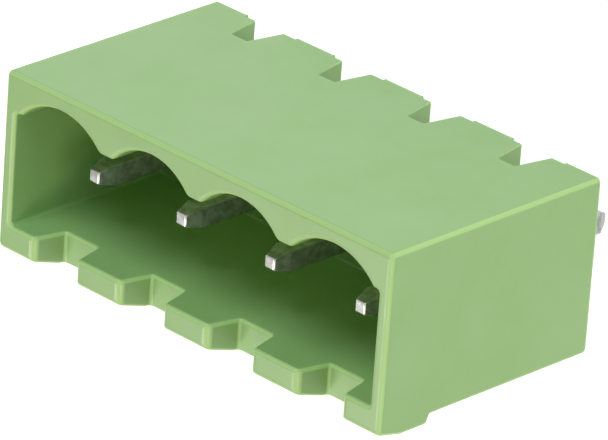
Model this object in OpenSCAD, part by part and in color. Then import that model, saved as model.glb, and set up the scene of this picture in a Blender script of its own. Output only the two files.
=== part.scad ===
// Board header of a pluggable terminal block.
// One moulded housing, closed at both ends, holds a row of square pins. The board is the
// plane z = 0 and the plug enters from above. The plug's latches hook under the lip on the
// -Y side. The wall on the +Y side is scalloped, so that the plug only fits one way round.

/* [Row] */
// Distance from one pin to the next
pitch = 5.08; // [5:0.01:7.62]
// Number of pins
poles = 4; // [2:1:12]

/* [Housing] */
// How far each end reaches past the middle of a rib, half a pitch from the end pin
end_extra = 0.84; // [0.8:0.01:1.2]
// Height of the mouth above the board
housing_h = 12; // [11:0.1:13]
// From the pin row to the outside of the scalloped wall
key_side = 4.12; // [4:0.02:4.5]
// From the pin row to the outside of the latch wall
latch_side = 3.7; // [3.5:0.02:4.2]
// Thickness of the end walls
end_wall = 0.65; // [0.5:0.05:0.75]
// Thickness of the latch wall
latch_wall = 1.03; // [0.8:0.01:1.2]
// Height of the solid base above the board
base_h = 3.4; // [3:0.1:4.5]
// Radius on the outer edges
edge_r = 0.25; // [0.1:0.05:0.4]
// Radius where the walls lead into the mouth
mouth_r = 0.2; // [0.1:0.02:0.24]

/* [Scallops] */
// Wall left behind the top of each arch
arch_wall = 0.74; // [0.6:0.02:0.9]
// Thickness of the wall at the ribs between arches
rib_wall = 1.76; // [1.7:0.01:1.9]
// Width of the flat that each rib between two arches ends in
rib_flat = 0.8; // [0.4:0.02:1.2]

/* [Latch lip] */
// How far the lip stands out of the latch wall
lip_out = 0.4; // [0.3:0.02:0.7]
// How far the lip reaches down from the mouth
lip_h = 2.95; // [2.5:0.05:3.5]
// How far the lip stands out at the mouth itself
lip_nose = 0.1; // [0:0.05:0.2]
// Height of the slope from the mouth to the full width of the lip
lip_slope_h = 1.3; // [1:0.05:2]
// Rise of the sloping shoulder under the lip
lip_under = 0.18; // [0:0.02:0.4]
// Radius on the long edges of the lip
lip_r = 0.12; // [0.05:0.01:0.2]

/* [Notches in the lip] */
// Width of each notch at the mouth
notch_w = 2.5; // [2:0.05:3]
// Width of each notch at its bottom
notch_bottom_w = 1.8; // [1.5:0.05:2]
// Depth of each notch
notch_h = 1.5; // [1:0.05:2]
// Radius where a notch meets the mouth
notch_r = 0.3; // [0.1:0.05:0.4]

/* [Board side] */
// Gap that the feet keep between the base and the board
foot_h = 0.28; // [0.1:0.02:0.5]
// Width of the space round each pin between the feet
foot_gap = 3; // [2:0.1:4]
// Height of the slots that the solder tails stand in
slot_h = 2.1; // [1.8:0.1:2.4]
// Width of a slot at its top
slot_w = 0.96; // [0.9:0.02:1.3]
// Width of a slot where it opens towards the board
slot_open_w = 1.64; // [1.4:0.02:2]
// How far a slot runs past the middle of its pin
slot_past = 0.9; // [0.7:0.05:1.5]

/* [Pins] */
// Width of the square pins
pin_w = 0.95; // [0.8:0.05:1]
// How far the pin tips lie below the mouth
pin_recess = 2; // [1.5:0.1:3]
// Length of the solder tails below the board
tail = 4; // [2.6:0.1:4.5]
// Width of the flat at a pin's tip
tip_w = 0.54; // [0.3:0.02:0.7]
// Length of the taper at the mating tip
tip_l = 0.75; // [0.4:0.05:1.2]
// Width of the flat at the end of a solder tail
tail_tip_w = 0.45; // [0.3:0.05:0.7]
// Length of the taper at the end of a solder tail
tail_tip_l = 0.5; // [0.3:0.05:1]
// Gap between a pin and each side of its hole, nothing for a press fit
pin_gap = 0; // [0:0.01:0.03]

/* [Hidden] */
$fn = 48;
// How far a cut runs past the face that it opens
over = 1;
half_l = poles * pitch / 2 + end_extra;
lip_side = latch_side + lip_out;
lip_bottom = housing_h - lip_h;
cavity_x = half_l - end_wall;
cavity_latch = -(latch_side - latch_wall);
cavity_key = key_side - rib_wall;
pin_top = housing_h - pin_recess;

function pin_x(i) = (i - (poles + 1) / 2) * pitch;
// Half of the flat on rib i: the arches at the ends run on to the middle of the last rib
function half_flat(i) = i == 0 || i == poles ? 0 : rib_flat / 2;
// Arch i spans from flat to flat, so the two at the ends are wider and stand a little outwards
function arch_x(i) = pin_x(i) + (half_flat(i - 1) - half_flat(i)) / 2;
function arch_half(i) = (pitch - half_flat(i - 1) - half_flat(i)) / 2;
// Radius over that span and the depth of the scallops, to the nearest thousandth
function arch_r(i) = let (depth = rib_wall - arch_wall)
    round(1000 * (pow(arch_half(i), 2) + pow(depth, 2)) / (2 * depth)) / 1000;
function arch_y(i) = key_side - arch_wall - arch_r(i);
function unit(v) = v / norm(v);

// Waste of a rounded corner: what lies between corner p, with neighbours a and b, and its arc
module corner_waste(p, a, b, r) {
    u = unit(a - p);
    v = unit(b - p);
    half_angle = acos(u * v) / 2;
    c = p + unit(u + v) * r / sin(half_angle);
    reach = r / tan(half_angle);
    difference() {
        polygon([c, p + u * reach, p + (p - c) * 0.5, p + v * reach]);
        translate(c) circle(r);
    }
}

// Outline with straight sides whose corners are rounded by arcs of the radii given
module rounded_outline(points, radii) {
    n = len(points);
    difference() {
        polygon(points);
        for (i = [0:n - 1])
            if (radii[i] > 0)
                corner_waste(points[i], points[(i + n - 1) % n], points[(i + 1) % n], radii[i]);
    }
}

module rounded_rectangle(low, high, r)
    rounded_outline([low, [high.x, low.y], high, [low.x, high.y]], [r, r, r, r]);

// Stands an outline drawn in X and Z upright, and gives it its width from y0 to y1
module along_y(y0, y1)
    translate([0, y1, 0]) rotate([90, 0, 0]) linear_extrude(y1 - y0) children();

// Runs an outline drawn in Y and Z along the row
module along_x(x0, x1)
    translate([x0, 0, 0]) rotate([90, 0, 90]) linear_extrude(x1 - x0) children();

// End view shared by the body and its lip: the housing's length, rounded at mouth and board
module end_view()
    along_y(-lip_side - over, key_side + over)
        rounded_rectangle([-half_l, 0], [half_l, housing_h], edge_r);

module body() intersection() {
    linear_extrude(housing_h)
        rounded_rectangle([-half_l, -latch_side], [half_l, key_side], edge_r);
    along_x(-half_l - over, half_l + over)
        rounded_rectangle([-latch_side, 0], [key_side, housing_h], edge_r);
    end_view();
}

// Ledge along the mouth: a slope for the latches to ride up, a flat and an undercut
module lip() intersection() {
    linear_extrude(housing_h)
        rounded_rectangle([-half_l, -lip_side], [half_l, 0], edge_r);
    along_x(-half_l - over, half_l + over)
        rounded_outline([
            [cavity_latch - edge_r, housing_h],
            [-latch_side - lip_nose, housing_h],
            [-lip_side, housing_h - lip_slope_h],
            [-lip_side, lip_bottom + lip_under],
            [-latch_side, lip_bottom],
            [cavity_latch - edge_r, lip_bottom]],
            [0, edge_r, lip_r, lip_r, 0, 0]);
    end_view();
}

// Plan of the space for the plug: straight walls, and an arch over every pin
module cavity_plan() {
    translate([-cavity_x, cavity_latch]) square([2 * cavity_x, cavity_key - cavity_latch]);
    for (i = [1:poles]) intersection() {
        translate([arch_x(i), arch_y(i)]) circle(arch_r(i), $fn = 96);
        translate([-cavity_x, 0]) square([2 * cavity_x, key_side]);
    }
}

// What the mouth's radius takes off walls whose faces stand at u = low and u = high
module flare(low, high) difference() {
    translate([low - mouth_r, housing_h - mouth_r]) square([high - low + 2 * mouth_r, 2 * mouth_r]);
    for (u = [low - mouth_r, high + mouth_r]) translate([u, housing_h - mouth_r]) circle(mouth_r);
}

// Radius round the whole mouth: the straight walls first, then the arches
module mouth_lead() {
    intersection() {
        along_y(-latch_side, key_side) flare(-cavity_x, cavity_x);
        along_x(-half_l, half_l) flare(cavity_latch, cavity_key);
    }
    for (i = [1:poles]) intersection() {
        translate([arch_x(i), arch_y(i), 0])
            rotate_extrude(angle = 180) flare(arch_r(i) - 2 * mouth_r, arch_r(i));
        translate([-half_l, cavity_key - mouth_r / 2, 0]) cube([2 * half_l, key_side, 2 * housing_h]);
    }
}

// Notch through the lip and the latch wall in front of a pin, about the pin's middle
module notch() {
    draft = (notch_w - notch_bottom_w) / 2 / notch_h;
    top = [notch_w / 2, housing_h];
    bottom = [notch_bottom_w / 2, housing_h - notch_h];
    open = [notch_w / 2 + draft * over, housing_h + over];
    along_y(-lip_side - over, cavity_latch + over) {
        polygon([bottom, open, [-open.x, open.y], [-bottom.x, bottom.y]]);
        for (side = [0, 1]) mirror([side, 0])
            corner_waste(top, bottom, top + [over, 0], notch_r);
    }
}

// Room under the base round a solder tail: a wide shallow step, and a slot open at the +Y side
module tail_room() {
    draft = (slot_open_w - slot_w) / 2 / (slot_h - foot_h);
    low_w = slot_w + 2 * draft * (slot_h + over);
    translate([-foot_gap / 2, -lip_side - over, -over])
        cube([foot_gap, lip_side + key_side + 2 * over, foot_h + over]);
    along_y(-slot_past, key_side + over)
        polygon([
            [-low_w / 2, -over], [low_w / 2, -over],
            [slot_w / 2, slot_h], [-slot_w / 2, slot_h]]);
}

module pin_hole() {
    hole = pin_w + 2 * pin_gap;
    translate([-hole / 2, -hole / 2, foot_h]) cube([hole, hole, base_h + over]);
}

module housing() color([0.60, 0.75, 0.50]) difference() {
    union() {
        body();
        lip();
    }
    translate([0, 0, base_h]) linear_extrude(housing_h) cavity_plan();
    mouth_lead();
    for (i = [1:poles]) translate([pin_x(i), 0, 0]) {
        notch();
        tail_room();
        pin_hole();
    }
}

// Side view of a pin, the same from the front and from the side
module pin_view()
    polygon([
        [-tail_tip_w / 2, -tail], [tail_tip_w / 2, -tail], [pin_w / 2, tail_tip_l - tail],
        [pin_w / 2, pin_top - tip_l], [tip_w / 2, pin_top], [-tip_w / 2, pin_top],
        [-pin_w / 2, pin_top - tip_l], [-pin_w / 2, tail_tip_l - tail]]);

module pin(i) color([0.80, 0.81, 0.82]) translate([pin_x(i), 0, 0]) intersection() {
    along_x(-pin_w, pin_w) pin_view();
    along_y(-pin_w, pin_w) pin_view();
}

housing();
for (i = [1:poles])
    pin(i);
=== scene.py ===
"""Looks of a four-way board header for a pluggable terminal block.

The housing is drawn with sharp edges from the sizes of the CAD and then rounded all over as
its mould leaves it, and the pins are drawn as sheared and plated wire. Everything is in
metres, in the frame of the CAD: the board is the plane z = 0, the pins stand along X, and the
plug enters from above.
"""

from collections import namedtuple
from math import atan2, cos, pi, radians, remainder, sin, sqrt, tan, tau

import bmesh
import bpy
from mathutils import Matrix, Vector


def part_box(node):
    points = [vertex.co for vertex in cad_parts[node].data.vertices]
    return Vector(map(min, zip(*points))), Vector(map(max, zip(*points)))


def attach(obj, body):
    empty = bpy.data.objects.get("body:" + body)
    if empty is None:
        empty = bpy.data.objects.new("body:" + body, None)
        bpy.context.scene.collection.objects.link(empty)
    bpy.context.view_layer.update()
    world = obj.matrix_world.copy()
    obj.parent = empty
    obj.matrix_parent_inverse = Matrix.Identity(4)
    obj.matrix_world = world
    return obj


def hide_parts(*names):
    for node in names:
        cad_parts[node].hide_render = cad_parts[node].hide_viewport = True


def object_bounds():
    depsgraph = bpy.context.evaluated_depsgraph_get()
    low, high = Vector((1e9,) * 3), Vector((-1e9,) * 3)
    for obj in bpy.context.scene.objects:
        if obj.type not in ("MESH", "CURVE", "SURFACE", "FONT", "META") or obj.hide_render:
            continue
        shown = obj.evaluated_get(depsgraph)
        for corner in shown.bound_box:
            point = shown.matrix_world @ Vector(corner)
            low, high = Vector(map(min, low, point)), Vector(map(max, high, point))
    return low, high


MM = 0.001

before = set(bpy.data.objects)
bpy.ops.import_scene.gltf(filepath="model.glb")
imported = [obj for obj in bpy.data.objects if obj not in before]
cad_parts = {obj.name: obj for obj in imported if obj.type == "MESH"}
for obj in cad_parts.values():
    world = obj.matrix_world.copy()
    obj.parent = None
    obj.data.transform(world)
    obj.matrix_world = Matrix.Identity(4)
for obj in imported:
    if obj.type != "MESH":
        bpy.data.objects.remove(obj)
cad_low, cad_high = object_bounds()


# --- Scene helpers ----------------------------------------------------------------------------


def place_object(name, data):
    """Object with that data, linked into the scene."""
    made = bpy.data.objects.new(name, data)
    bpy.context.scene.collection.objects.link(made)
    return made


def mesh_of(bm, name):
    """Mesh with what a bmesh holds, which is then freed."""
    mesh = bpy.data.meshes.new(name)
    bm.to_mesh(mesh)
    bm.free()
    return mesh


def towards(azimuth, elevation):
    """Direction from the object to something seen at these angles."""
    level = cos(elevation)
    return Vector((sin(azimuth) * level, -cos(azimuth) * level, sin(elevation)))


def facing(target, azimuth, elevation, distance):
    """Placing of a camera or lamp that faces a target from that direction and distance."""
    back = towards(azimuth, elevation)
    turn = (-back).to_track_quat("-Z", "Y").to_matrix().to_4x4()
    return Matrix.Translation(target + back * distance) @ turn


# --- Camera -----------------------------------------------------------------------------------

AIM = Vector((0.225, -0.199, 5.716)) * MM
CAMERA_DISTANCE = 300.9 * MM
CAMERA_AZIMUTH = radians(124.198)
CAMERA_ELEVATION = radians(41.308)
# The header lies on its side for the camera, so the picture's upright leans away from +Z
CAMERA_ROLL = radians(110.005)
LENS_MM = 440.77
SENSOR_MM = 36
CLIP_START = CAMERA_DISTANCE / 100
CLIP_END = CAMERA_DISTANCE * 20


def add_camera():
    data = bpy.data.cameras.new("camera")
    data.lens = LENS_MM
    data.sensor_width = SENSOR_MM
    data.clip_start = CLIP_START
    data.clip_end = CLIP_END
    camera = place_object("camera", data)
    roll = Matrix.Rotation(-CAMERA_ROLL, 4, "Z")
    camera.matrix_world = facing(AIM, CAMERA_AZIMUTH, CAMERA_ELEVATION, CAMERA_DISTANCE) @ roll
    bpy.context.scene.camera = camera


# --- Node helpers -----------------------------------------------------------------------------

FLOAT, COLOUR = "NodeSocketFloat", "NodeSocketColor"
# Places of the colour sockets on a mix node, which shares its socket names between kinds
MIX_SHARE, MIX_FIRST, MIX_SECOND, MIX_RESULT = 0, 6, 7, 2
# Scale in cells per metre
Noise = namedtuple("Noise", "scale detail roughness")


def new_group(name, inputs, outputs):
    """Empty node group with named float or colour sockets: returns it, its inlet and its outlet."""
    group = bpy.data.node_groups.new(name, "ShaderNodeTree")
    for socket, kind in inputs:
        group.interface.new_socket(socket, in_out="INPUT", socket_type=kind)
    for socket, kind in outputs:
        group.interface.new_socket(socket, in_out="OUTPUT", socket_type=kind)
    return group, group.nodes.new("NodeGroupInput"), group.nodes.new("NodeGroupOutput")


def add_node(tree, kind, settings=(), **values):
    """Node of that kind with its settings, and with values put on its named inputs."""
    node = tree.nodes.new(kind)
    for name, value in dict(settings).items():
        setattr(node, name, value)
    for name, value in values.items():
        node.inputs[name.replace("_", " ")].default_value = value
    return node


def join(tree, start, end):
    tree.links.new(start, end)


def noise(tree, vector, kind):
    """Noise of a kind, read at a vector."""
    node = add_node(
        tree,
        "ShaderNodeTexNoise",
        Scale=kind.scale,
        Detail=kind.detail,
        Roughness=kind.roughness,
    )
    join(tree, vector, node.inputs["Vector"])
    return node.outputs["Fac"]


def spread(tree, value, low, high, to_low=0.0, to_high=1.0):
    """Value stretched from one span to another, and held inside it."""
    node = tree.nodes.new("ShaderNodeMapRange")
    node.inputs["From Min"].default_value = low
    node.inputs["From Max"].default_value = high
    node.inputs["To Min"].default_value = to_low
    node.inputs["To Max"].default_value = to_high
    join(tree, value, node.inputs["Value"])
    return node.outputs["Result"]


def mix_colours(tree, share, first, second):
    """Colour that goes from the first to the second as the share rises."""
    node = add_node(tree, "ShaderNodeMix", {"data_type": "RGBA"})
    join(tree, share, node.inputs[MIX_SHARE])
    join(tree, first, node.inputs[MIX_FIRST])
    join(tree, second, node.inputs[MIX_SECOND])
    return node.outputs[MIX_RESULT]


def math_node(tree, operation, *values):
    """Math node whose inputs are sockets or plain numbers: returns its result."""
    node = add_node(tree, "ShaderNodeMath", {"operation": operation})
    for place, value in enumerate(values):
        if hasattr(value, "links"):
            join(tree, value, node.inputs[place])
        else:
            node.inputs[place].default_value = value
    return node.outputs[0]


# --- Materials --------------------------------------------------------------------------------

RESIN = (0.325, 0.53, 0.178, 1)
RESIN_PALE = (0.35, 0.555, 0.205, 1)
# Paler colour on the rounded edges outside the cavity: a painted highlight
RESIN_PAINTED_HIGHLIGHT = (0.47, 0.69, 0.235, 1)
# Largest part of the normal along one axis, where the painted edge highlight begins and where it is full
HIGHLIGHT_BEGINS = 0.96
HIGHLIGHT_FULL = 0.91
TIN = (0.6, 0.6, 0.585, 1)
TIN_DULL = (0.36, 0.36, 0.33, 1)
# Bare metal's share of the plating, the rest is a thin dull film
TIN_SHINE = 0.72

# Clouds of colour and patches of gloss in the plastic, and the grain and waves of its surface
RESIN_CLOUDS = Noise(scale=260, detail=4, roughness=0.55)
RESIN_PATCHES = Noise(scale=900, detail=3, roughness=0.6)
RESIN_GRAIN = Noise(scale=9000, detail=3, roughness=0.55)
RESIN_WAVES = Noise(scale=500, detail=2, roughness=0.5)
WAVE_HEIGHT = 2.5
# Dull patches of the plating, and streaks drawn out along the wire
TIN_PATCHES = Noise(scale=2600, detail=4, roughness=0.6)
TIN_STREAKS = Noise(scale=9000, detail=3, roughness=0.6)
STREAK_STRETCH = (1, 1, 0.12)
PATCH_HEIGHT = 0.6
# Spans of the noises over which what they drive rises from nothing to full
CLOUD_SPAN = (0.35, 0.68)
PATCH_SPAN = (0.3, 0.7)
DULL_SPAN = (0.38, 0.62)
SKIN_OUTPUTS = (("Colour", COLOUR), ("Roughness", FLOAT), ("Height", FLOAT))


def painted_highlight_share(tree):
    """Mask of the painted edge highlight: where the housing's surface turns from one flat to the next,
    outside its cavity.
    """
    coordinates = tree.nodes.new("ShaderNodeTexCoord")
    normal = tree.nodes.new("ShaderNodeSeparateXYZ")
    place = tree.nodes.new("ShaderNodeSeparateXYZ")
    join(tree, coordinates.outputs["Normal"], normal.inputs[0])
    join(tree, coordinates.outputs["Object"], place.inputs[0])
    widest, inside = 0, 1
    for axis, (low, high) in enumerate(zip(*cavity_box())):
        part = math_node(tree, "ABSOLUTE", normal.outputs[axis])
        widest = math_node(tree, "MAXIMUM", part, widest)
        middle, half = (low + high) / 2, (high - low) / 2
        within = math_node(tree, "COMPARE", place.outputs[axis], middle, half)
        inside = math_node(tree, "MULTIPLY", within, inside)
    turned = spread(tree, widest, HIGHLIGHT_BEGINS, HIGHLIGHT_FULL)
    outside = math_node(tree, "SUBTRACT", 1, inside)
    return math_node(tree, "MULTIPLY", turned, outside)


def join_skin(group, inlet, outlet, colour, patches, height):
    """Joins what a skin group makes to its outlet, with patches that make its gloss uneven."""
    gloss, gloss_spread = inlet.outputs["Gloss"], inlet.outputs["Gloss spread"]
    roughness = math_node(group, "MULTIPLY_ADD", patches, gloss_spread, gloss)
    join(group, colour, outlet.inputs["Colour"])
    join(group, roughness, outlet.inputs["Roughness"])
    join(group, height, outlet.inputs["Height"])


def moulded_skin_group():
    """Skin of a moulding: cloudy colour, rounded edges made paler by a painted highlight that stands in
    for the light passing through them, fine grain in its height, and uneven gloss."""
    inputs = (
        ("Colour", COLOUR),
        ("Pale colour", COLOUR),
        ("Edge colour", COLOUR),
        ("Gloss", FLOAT),
        ("Gloss spread", FLOAT),
    )
    group, inlet, outlet = new_group("moulded_skin", inputs, SKIN_OUTPUTS)
    place = group.nodes.new("ShaderNodeTexCoord").outputs["Object"]
    clouds = spread(group, noise(group, place, RESIN_CLOUDS), *CLOUD_SPAN)
    colour = mix_colours(group, clouds, inlet.outputs["Colour"], inlet.outputs["Pale colour"])
    # Painted highlight: the rounded edges outside the cavity take the paler colour
    colour = mix_colours(group, painted_highlight_share(group), colour, inlet.outputs["Edge colour"])
    patches = spread(group, noise(group, place, RESIN_PATCHES), *PATCH_SPAN, -1, 1)
    grain = noise(group, place, RESIN_GRAIN)
    waves = noise(group, place, RESIN_WAVES)
    height = math_node(group, "MULTIPLY_ADD", waves, WAVE_HEIGHT, grain)
    join_skin(group, inlet, outlet, colour, patches, height)
    return group


def drawn_metal_group():
    """Skin of drawn and plated wire: streaks along Z, small pits, and dull patches."""
    inputs = (
        ("Colour", COLOUR),
        ("Dull colour", COLOUR),
        ("Gloss", FLOAT),
        ("Gloss spread", FLOAT),
    )
    group, inlet, outlet = new_group("drawn_metal", inputs, SKIN_OUTPUTS)
    place = group.nodes.new("ShaderNodeTexCoord").outputs["Object"]
    stretch = add_node(group, "ShaderNodeMapping", Scale=STREAK_STRETCH)
    join(group, place, stretch.inputs["Vector"])
    streaks = noise(group, stretch.outputs["Vector"], TIN_STREAKS)
    patches = noise(group, place, TIN_PATCHES)
    dull = spread(group, patches, *DULL_SPAN)
    colour = mix_colours(group, dull, inlet.outputs["Colour"], inlet.outputs["Dull colour"])
    height = math_node(group, "MULTIPLY_ADD", patches, PATCH_HEIGHT, streaks)
    join_skin(group, inlet, outlet, colour, patches, height)
    return group


def skinned_material(name, group, values, bump_depth, **constants):
    """Material whose skin group feeds a Principled shader, with constants on its own sockets."""
    material = bpy.data.materials.new(name)
    material.use_nodes = True
    tree = material.node_tree
    shader = tree.nodes["Principled BSDF"]
    skin = add_node(tree, "ShaderNodeGroup", {"node_tree": group})
    for socket, value in values.items():
        skin.inputs[socket].default_value = value
    bump = add_node(tree, "ShaderNodeBump", Strength=1.0, Distance=bump_depth)
    join(tree, skin.outputs["Colour"], shader.inputs["Base Color"])
    join(tree, skin.outputs["Roughness"], shader.inputs["Roughness"])
    join(tree, skin.outputs["Height"], bump.inputs["Height"])
    join(tree, bump.outputs["Normal"], shader.inputs["Normal"])
    for socket, value in constants.items():
        shader.inputs[socket.replace("_", " ")].default_value = value
    return material


def make_materials():
    plastic = skinned_material(
        "green_plastic",
        moulded_skin_group(),
        {
            "Colour": RESIN,
            "Pale colour": RESIN_PALE,
            # The paler colour is a painted highlight on the rounded edges
            "Edge colour": RESIN_PAINTED_HIGHLIGHT,
            "Gloss": 0.34,
            "Gloss spread": 0.06,
        },
        bump_depth=0.0015 * MM,
        Subsurface_Weight=0.12,
        Subsurface_Radius=(0.7, 1.0, 0.4),
        Subsurface_Scale=0.5 * MM,
        IOR=1.5,
    )
    tin = skinned_material(
        "tin_plate",
        drawn_metal_group(),
        {"Colour": TIN, "Dull colour": TIN_DULL, "Gloss": 0.1, "Gloss spread": 0.14},
        bump_depth=0.003 * MM,
        Metallic=TIN_SHINE,
    )
    return plastic, tin


# --- Housing ----------------------------------------------------------------------------------

# Sizes that the boxes of the CAD nodes don't give, as its source has them
PITCH = 5.08 * MM
LATCH_SIDE = 3.7 * MM
LATCH_WALL = 1.03 * MM
END_WALL = 0.65 * MM
BASE_TOP = 3.4 * MM
ARCH_WALL = 0.74 * MM
RIB_WALL = 1.76 * MM
RIB_FLAT = 0.8 * MM
# The flat between an end wall and the arch beside it shows wider than half a rib leaves it
END_FLAT = 0.31 * MM
LIP_H = 2.95 * MM
LIP_NOSE = 0.1 * MM
LIP_SLOPE_H = 1.3 * MM
LIP_UNDER = 0.18 * MM
NOTCH_W = 2.5 * MM
NOTCH_BOTTOM_W = 1.8 * MM
NOTCH_H = 1.5 * MM
FOOT_H = 0.28 * MM
FOOT_GAP = 3 * MM
SLOT_H = 2.1 * MM
SLOT_W = 0.96 * MM
SLOT_OPEN_W = 1.64 * MM
SLOT_PAST = 0.9 * MM

# Radii on the edges of the moulding
EDGE_R = 0.25 * MM
MOUTH_R = 0.2 * MM
NOTCH_R = 0.3 * MM
LIP_R = 0.12 * MM
TOOTH_R = 0.16 * MM
INNER_R = 0.1 * MM
# Drawn in the outlines: each round nose is wider than the radius of the rim that runs over it
NOSE_R = 0.42 * MM
END_NOSE_R = 0.24 * MM
CORNER_R = 0.15 * MM
FOOT_R = 0.06 * MM

# The edges' weights are shares of the widest radius
WIDEST_R = NOTCH_R
MOULD_SEGMENTS = 4
ARCH_STEPS = 40
NOSE_STEPS = 7
CORNER_STEPS = 5

SAME_PLACE = 0.001 * MM
NEAR = 0.01 * MM
FACE_SLACK = 0.02 * MM
# How far a cut runs past the face that it opens
OVER = 1 * MM
# Faces that turn by less are one flat, and edges that turn by more are rounded
ONE_FLAT = radians(0.5)
ROUNDED = radians(25)


def finish_piece(bm, name, material, slot, *nodes):
    """Mesh object at the origin that rides with the part and stands for its CAD nodes."""
    mesh = mesh_of(bm, name)
    mesh.materials.append(material)
    piece = place_object(name, mesh)
    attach(piece, "root")
    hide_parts(*nodes)
    return piece


def even_shading(piece):
    """Keeps the flats flat, and lets only the radii carry the turn of the light."""
    even = piece.modifiers.new("even_shading", "WEIGHTED_NORMAL")
    even.keep_sharp = True
    even.weight = 100


def shade_smooth(bm, sharp):
    """Smooth all over, apart from the edges that get no radius."""
    for face in bm.faces:
        face.smooth = True
    for edge in bm.edges:
        edge.smooth = True
    for edge in sharp:
        edge.smooth = False


def moved_verts(made):
    return [part for part in made["geom"] if isinstance(part, bmesh.types.BMVert)]


def arc(centre, radius, start, turn, steps):
    """Points along an arc that begins at the angle start and goes on through turn."""
    angles = [start + turn * step / steps for step in range(steps + 1)]
    return [centre + radius * Vector((cos(angle), sin(angle))) for angle in angles]


def rounded_corner(before, corner, after, radius):
    """Points of the arc that rounds a corner, given the points before and after it."""
    ways = [(before - corner).normalized(), (after - corner).normalized()]
    half = ways[0].angle(ways[1]) / 2
    centre = corner + (ways[0] + ways[1]).normalized() * radius / sin(half)
    ends = [corner + way * radius / tan(half) - centre for way in ways]
    start, finish = [atan2(end.y, end.x) for end in ends]
    return arc(centre, radius, start, remainder(finish - start, tau), CORNER_STEPS)


def closed_prism(bm, points, run):
    """Prism on the outline through those points, run along a vector."""
    verts = [bm.verts.new(point) for point in points]
    made = bmesh.ops.extrude_face_region(bm, geom=[bm.faces.new(verts)])
    bmesh.ops.translate(bm, vec=run, verts=moved_verts(made))


def cutter(build):
    """Temporary object made by a function that fills a bmesh."""
    bm = bmesh.new()
    build(bm)
    bmesh.ops.recalc_face_normals(bm, faces=bm.faces)
    return place_object("cutter", mesh_of(bm, "cutter"))


def cavity_box():
    """Low and high corner of the space below the mouth's radius, with the walls' faces in it."""
    low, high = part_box("housing")
    inner_x = high.x - END_WALL + FACE_SLACK
    inner_y = LATCH_SIDE - LATCH_WALL + FACE_SLACK
    arch_y = high.y - ARCH_WALL + FACE_SLACK
    return (-inner_x, -inner_y, low.z), (inner_x, arch_y, high.z - MOUTH_R)


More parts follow.
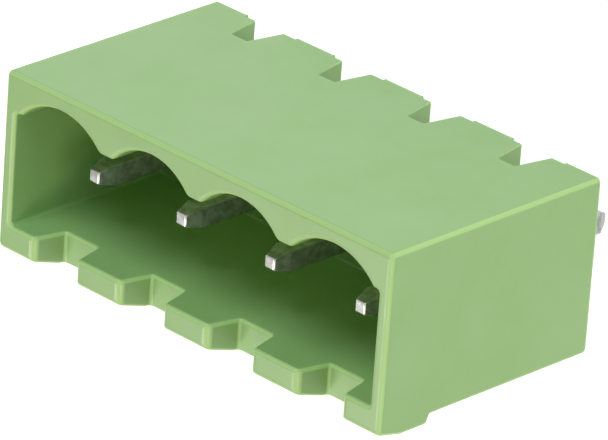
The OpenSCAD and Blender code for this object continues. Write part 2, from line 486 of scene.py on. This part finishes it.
class Moulding:
    """The housing with sharp edges, from the box of its CAD node and the sizes above."""

    def __init__(self):
        low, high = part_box("housing")
        self.half, self.key, self.lip, self.top = high.x, high.y, -low.y, high.z
        self.pins = [sum(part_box(n), Vector()).x / 2 for n in sorted(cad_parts) if "pin" in n]
        self.inner_x = self.half - END_WALL
        self.inner_y = -(LATCH_SIDE - LATCH_WALL)
        self.rib_y = self.key - RIB_WALL
        self.arches = [self.arch(pin_x) for pin_x in self.pins]

    def arch(self, pin_x):
        """Centre and radius of the arch over a pin, and the radii of the noses beside it."""
        at_start, at_finish = pin_x == self.pins[0], pin_x == self.pins[-1]
        left = END_FLAT - self.inner_x if at_start else pin_x - PITCH / 2 + RIB_FLAT / 2
        right = self.inner_x - END_FLAT if at_finish else pin_x + PITCH / 2 - RIB_FLAT / 2
        half = (right - left) / 2
        depth = RIB_WALL - ARCH_WALL
        radius = (half**2 + depth**2) / (2 * depth)
        centre = Vector(((left + right) / 2, self.key - ARCH_WALL - radius))
        noses = (END_NOSE_R if at_start else NOSE_R, END_NOSE_R if at_finish else NOSE_R)
        return centre, radius, noses

    def body(self, bm):
        """End view of the wall and its lip, run along the row."""
        ends = (
            (-LATCH_SIDE, 0),
            (self.key, 0),
            (self.key, self.top),
            (-LATCH_SIDE - LIP_NOSE, self.top),
            (-self.lip, self.top - LIP_SLOPE_H),
            (-self.lip, self.top - LIP_H + LIP_UNDER),
            (-LATCH_SIDE, self.top - LIP_H),
        )
        closed_prism(bm, [(-self.half, y, z) for y, z in ends], (2 * self.half, 0, 0))

    def cavity(self, bm):
        """Space for the plug: an arch over every pin, and a round nose wherever one meets a flat."""
        x, low, high = self.inner_x, self.inner_y, self.rib_y
        corners = [Vector(place) for place in ((-x, low), (-x, high), (x, high), (x, low))]
        outline = rounded_corner(corners[0], corners[1], corners[2], CORNER_R)
        for centre, radius, noses in self.arches:
            middles, turns = [], []
            for side, nose_r in zip((-1, 1), noses):
                rise = high + nose_r - centre.y
                reach = sqrt((radius + nose_r) ** 2 - rise**2)
                middles.append(centre + Vector((side * reach, rise)))
                turns.append(atan2(reach, rise))
            outline += arc(middles[0], noses[0], -pi / 2, turns[0], NOSE_STEPS)
            outline += arc(centre, radius, pi / 2 + turns[0], -sum(turns), ARCH_STEPS)[1:-1]
            outline += arc(middles[1], noses[1], -pi / 2 - turns[1], turns[1], NOSE_STEPS)
        for before, corner, after in ((1, 2, 3), (2, 3, 0), (3, 0, 1)):
            outline += rounded_corner(corners[before], corners[corner], corners[after], CORNER_R)
        run = (0, 0, self.top - BASE_TOP + OVER)
        closed_prism(bm, [(point.x, point.y, BASE_TOP) for point in outline], run)

    def notches(self, bm):
        """Tapered notches through the lip and the latch wall, in front of the pins."""
        slope = (NOTCH_W - NOTCH_BOTTOM_W) / 2 / NOTCH_H
        wide = NOTCH_W / 2 + slope * OVER
        narrow = NOTCH_BOTTOM_W / 2
        low, high = self.top - NOTCH_H, self.top + OVER
        for x in self.pins:
            places = ((x - wide, high), (x - narrow, low), (x + narrow, low), (x + wide, high))
            corners = [Vector(place) for place in places]
            outline = [corners[0]]
            outline += rounded_corner(*corners[:3], CORNER_R)
            outline += rounded_corner(*corners[1:], CORNER_R)
            outline.append(corners[3])
            run = (0, self.lip + self.inner_y + 2 * OVER, 0)
            closed_prism(bm, [(point.x, -self.lip - OVER, point.y) for point in outline], run)

    def steps(self, bm):
        """Shallow spaces between the feet, across the whole depth."""
        for x in self.pins:
            half = FOOT_GAP / 2
            ends = ((x - half, -OVER), (x + half, -OVER), (x + half, FOOT_H), (x - half, FOOT_H))
            run = (0, self.lip + self.key + 2 * OVER, 0)
            closed_prism(bm, [(u, -self.lip - OVER, z) for u, z in ends], run)

    def slots(self, bm):
        """Tapered slots round the solder tails, open on the scalloped side."""
        slope = (SLOT_OPEN_W - SLOT_W) / 2 / (SLOT_H - FOOT_H)
        wide = SLOT_W / 2 + slope * (SLOT_H + OVER)
        narrow = SLOT_W / 2
        for x in self.pins:
            ends = ((x - wide, -OVER), (x + wide, -OVER), (x + narrow, SLOT_H), (x - narrow, SLOT_H))
            run = (0, self.key + OVER + SLOT_PAST, 0)
            closed_prism(bm, [(u, -SLOT_PAST, z) for u, z in ends], run)

    def holes(self, bm):
        """Square holes that grip the pins."""
        low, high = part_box("pin_1")
        half = (high.x - low.x) / 2
        for x in self.pins:
            ends = ((x - half, -half), (x + half, -half), (x + half, half), (x - half, half))
            run = (0, 0, BASE_TOP + OVER)
            closed_prism(bm, [(u, v, FOOT_H) for u, v in ends], run)

    def radius(self, edge):
        """Radius that the mould leaves on an edge, by where it lies, or nothing where it stays sharp."""
        a, b = (vert.co for vert in edge.verts)
        mid = (a + b) / 2

        def at(value, place):
            return abs(value - place) < NEAR

        def both_at(axis, place):
            return at(a[axis], place) and at(b[axis], place)

        on_end = both_at(0, self.half) or both_at(0, -self.half)
        on_key = both_at(1, self.key)
        on_top = both_at(2, self.top)
        low_down = mid.z < SLOT_H + SAME_PLACE
        if on_end or (on_key and on_top):
            return EDGE_R
        if both_at(2, SLOT_H):
            return 0
        if low_down:
            outer = both_at(2, 0) and (on_key or both_at(1, -LATCH_SIDE))
            return EDGE_R if outer else FOOT_R
        if on_top:
            if at(mid.y, -LATCH_SIDE - LIP_NOSE):
                return EDGE_R
            flank = mid.y < self.inner_y and not both_at(1, self.inner_y)
            return NOTCH_R if flank else MOUTH_R
        at_notch = mid.z > self.top - NOTCH_H - SAME_PLACE
        if at_notch and mid.y < self.inner_y + SAME_PLACE:
            return MOUTH_R if both_at(1, self.inner_y) else TOOTH_R
        if mid.y < -LATCH_SIDE + SAME_PLACE:
            return LIP_R
        return INNER_R


def cut_moulding(moulding):
    """Block with everything cut out of it, as a bmesh whose edges are still sharp."""
    block = cutter(moulding.body)
    shapes = (
        moulding.cavity,
        moulding.notches,
        moulding.steps,
        moulding.slots,
        moulding.holes,
    )
    tools = [cutter(shape) for shape in shapes]
    for tool in tools:
        cut = block.modifiers.new("cut", "BOOLEAN")
        cut.operation = "DIFFERENCE"
        cut.solver = "EXACT"
        cut.object = tool
    depsgraph = bpy.context.evaluated_depsgraph_get()
    bm = bmesh.new()
    bm.from_object(block, depsgraph)
    for used in (block, *tools):
        bpy.data.objects.remove(used)
    bmesh.ops.remove_doubles(bm, verts=bm.verts, dist=SAME_PLACE)
    bmesh.ops.dissolve_limit(bm, angle_limit=ONE_FLAT, verts=bm.verts, edges=bm.edges)
    bmesh.ops.recalc_face_normals(bm, faces=bm.faces)
    return bm


def make_housing(material):
    """The sharp moulding with every edge rounded as its mould leaves it."""
    moulding = Moulding()
    bm = cut_moulding(moulding)
    weights = bm.edges.layers.float.new("bevel_weight_edge")
    corners = [edge for edge in bm.edges if edge.calc_face_angle(0) > ROUNDED]
    for edge in corners:
        edge[weights] = moulding.radius(edge) / WIDEST_R
    shade_smooth(bm, [edge for edge in corners if edge[weights] == 0])
    piece = finish_piece(bm, "moulded_housing", material, "housing", "housing")
    rounded = piece.modifiers.new("mould_radii", "BEVEL")
    rounded.limit_method = "WEIGHT"
    rounded.offset_type = "OFFSET"
    rounded.width = WIDEST_R
    rounded.segments = MOULD_SEGMENTS
    rounded.profile = 0.5
    rounded.use_clamp_overlap = False
    rounded.loop_slide = True
    even_shading(piece)


# --- Pins -------------------------------------------------------------------------------------

TIP_FLAT = 0.54 * MM
TIP_TAPER = 0.75 * MM
TAIL_FLAT = 0.45 * MM
TAIL_TAPER = 0.5 * MM
WIRE_CORNER_R = 0.06 * MM
WIRE_SEGMENTS = 3


def tapered_wire(bm, low, high):
    """Square wire with sharp edges that fills a box, tapered at both ends."""
    middle = (low + high) / 2
    width = high.x - low.x
    bmesh.ops.create_grid(bm, x_segments=1, y_segments=1, size=0.5)
    outline = list(bm.verts)
    bmesh.ops.scale(bm, vec=(TAIL_FLAT, TAIL_FLAT, 1), verts=outline)
    bmesh.ops.translate(bm, vec=(middle.x, middle.y, low.z), verts=outline)
    bmesh.ops.reverse_faces(bm, faces=bm.faces)
    top = bm.faces[:]
    level, size = low.z, TAIL_FLAT
    steps = (
        (low.z + TAIL_TAPER, width),
        (high.z - TIP_TAPER, width),
        (high.z, TIP_FLAT),
    )
    for height, wide in steps:
        made = bmesh.ops.extrude_face_region(bm, geom=top, use_keep_orig=level == low.z)
        verts = moved_verts(made)
        bmesh.ops.translate(bm, vec=(0, 0, height - level), verts=verts)
        bmesh.ops.scale(
            bm,
            vec=(wide / size, wide / size, 1),
            verts=verts,
            space=Matrix.Translation((-middle.x, -middle.y, 0)),
        )
        top = [part for part in made["geom"] if isinstance(part, bmesh.types.BMFace)]
        level, size = height, wide
    bmesh.ops.recalc_face_normals(bm, faces=bm.faces)


def make_pin(node, material):
    """Tapered wire with drawn corners and worn shear edges."""
    low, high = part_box(node)
    bm = bmesh.new()
    tapered_wire(bm, low, high)
    drawn = bmesh.ops.bevel(
        bm,
        geom=[edge for edge in bm.edges if edge.calc_face_angle(0) > ROUNDED],
        offset=WIRE_CORNER_R,
        offset_type="OFFSET",
        segments=WIRE_SEGMENTS,
        profile=0.5,
        affect="EDGES",
        clamp_overlap=True,
        material=-1,
        loop_slide=True,
    )
    # Only the drawn corners are smooth, so that the flats and their tapers meet in crisp lines
    for face in bm.faces:
        face.smooth = face in drawn["faces"]
    for edge in bm.edges:
        edge.smooth = True
    finish_piece(bm, "plated_" + node, material, "pins", node)


# --- Light and floor --------------------------------------------------------------------------

WORLD_LIGHT = 0.06
WHITE = (1, 1, 1, 1)
FLOOR_HALF = 400 * MM
FLOOR_GLOW = 0.62
FLOOR_GLOW_SEEN = 0.86
FLOOR_COLOUR = (0.5, 0.5, 0.5, 1)
# Lamps round the middle of the object: angles in degrees, size in millimetres, strength in watts
LAMP_DISTANCE = 300 * MM
Lamp = namedtuple("Lamp", "azimuth elevation size watts colour")
LAMPS = {
    "key_wall_lamp": Lamp(178, 28, size=160, watts=0.402, colour=(0.88, 1, 1.18)),
    "end_wall_lamp": Lamp(95, 5, size=240, watts=0.306, colour=(0.86, 1, 1.18)),
    "mouth_lamp": Lamp(330, 55, size=170, watts=0.473, colour=(1.03, 1, 0.97)),
    "edge_lamp": Lamp(57, 38, size=110, watts=0.149, colour=(1.08, 1, 0.88)),
}


def add_world():
    """White for the camera and in reflections, and a faint even light on everything else."""
    world = bpy.data.worlds.new("white_tent")
    world.use_nodes = True
    bpy.context.scene.world = world
    tree = world.node_tree
    background = tree.nodes["Background"]
    background.inputs["Color"].default_value = WHITE
    path = tree.nodes.new("ShaderNodeLightPath")
    seen = path.outputs["Is Camera Ray"]
    for ray in ("Is Glossy Ray", "Is Transmission Ray"):
        seen = math_node(tree, "MAXIMUM", seen, path.outputs[ray])
    join(tree, spread(tree, seen, 0, 1, WORLD_LIGHT, 1), background.inputs["Strength"])


def add_lamps():
    middle = (cad_low + cad_high) / 2
    for name, lamp in LAMPS.items():
        data = bpy.data.lights.new(name, "AREA")
        data.shape = "DISK"
        data.size = lamp.size * MM
        data.energy = lamp.watts
        data.color = lamp.colour
        azimuth, elevation = radians(lamp.azimuth), radians(lamp.elevation)
        place_object(name, data).matrix_world = facing(middle, azimuth, elevation, LAMP_DISTANCE)


def floor_material():
    """Grey paint under a glow that lifts it to white for the camera, and clear from behind."""
    material = bpy.data.materials.new("floor_white")
    material.use_nodes = True
    tree = material.node_tree
    tree.nodes.remove(tree.nodes["Principled BSDF"])
    paint = add_node(tree, "ShaderNodeBsdfDiffuse", Color=FLOOR_COLOUR)
    glow = add_node(tree, "ShaderNodeEmission", Color=WHITE)
    seen = tree.nodes.new("ShaderNodeLightPath").outputs["Is Camera Ray"]
    join(tree, spread(tree, seen, 0, 1, FLOOR_GLOW, FLOOR_GLOW_SEEN), glow.inputs["Strength"])
    both = tree.nodes.new("ShaderNodeAddShader")
    clear = tree.nodes.new("ShaderNodeBsdfTransparent")
    sides = tree.nodes.new("ShaderNodeMixShader")
    back = tree.nodes.new("ShaderNodeNewGeometry").outputs["Backfacing"]
    join(tree, paint.outputs[0], both.inputs[0])
    join(tree, glow.outputs[0], both.inputs[1])
    join(tree, back, sides.inputs[0])
    join(tree, both.outputs[0], sides.inputs[1])
    join(tree, clear.outputs[0], sides.inputs[2])
    join(tree, sides.outputs[0], tree.nodes["Material Output"].inputs["Surface"])
    return material


def add_floor():
    """White floor under the solder tails. It shows white, keeps the shadow, and has no back."""
    bm = bmesh.new()
    bmesh.ops.create_grid(bm, x_segments=1, y_segments=1, size=FLOOR_HALF)
    bmesh.ops.translate(bm, vec=(0, 0, cad_low.z - SAME_PLACE), verts=bm.verts)
    mesh = mesh_of(bm, "floor")
    mesh.materials.append(floor_material())
    floor = place_object("floor", mesh)


# --- The whole scene --------------------------------------------------------------------------

add_camera()
green_plastic, tin_plate = make_materials()
make_housing(green_plastic)
for node_name in sorted(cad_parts):
    if node_name.startswith("pin_"):
        make_pin(node_name, tin_plate)
add_world()
add_lamps()
add_floor()
bpy.context.scene.view_settings.view_transform = "Standard"
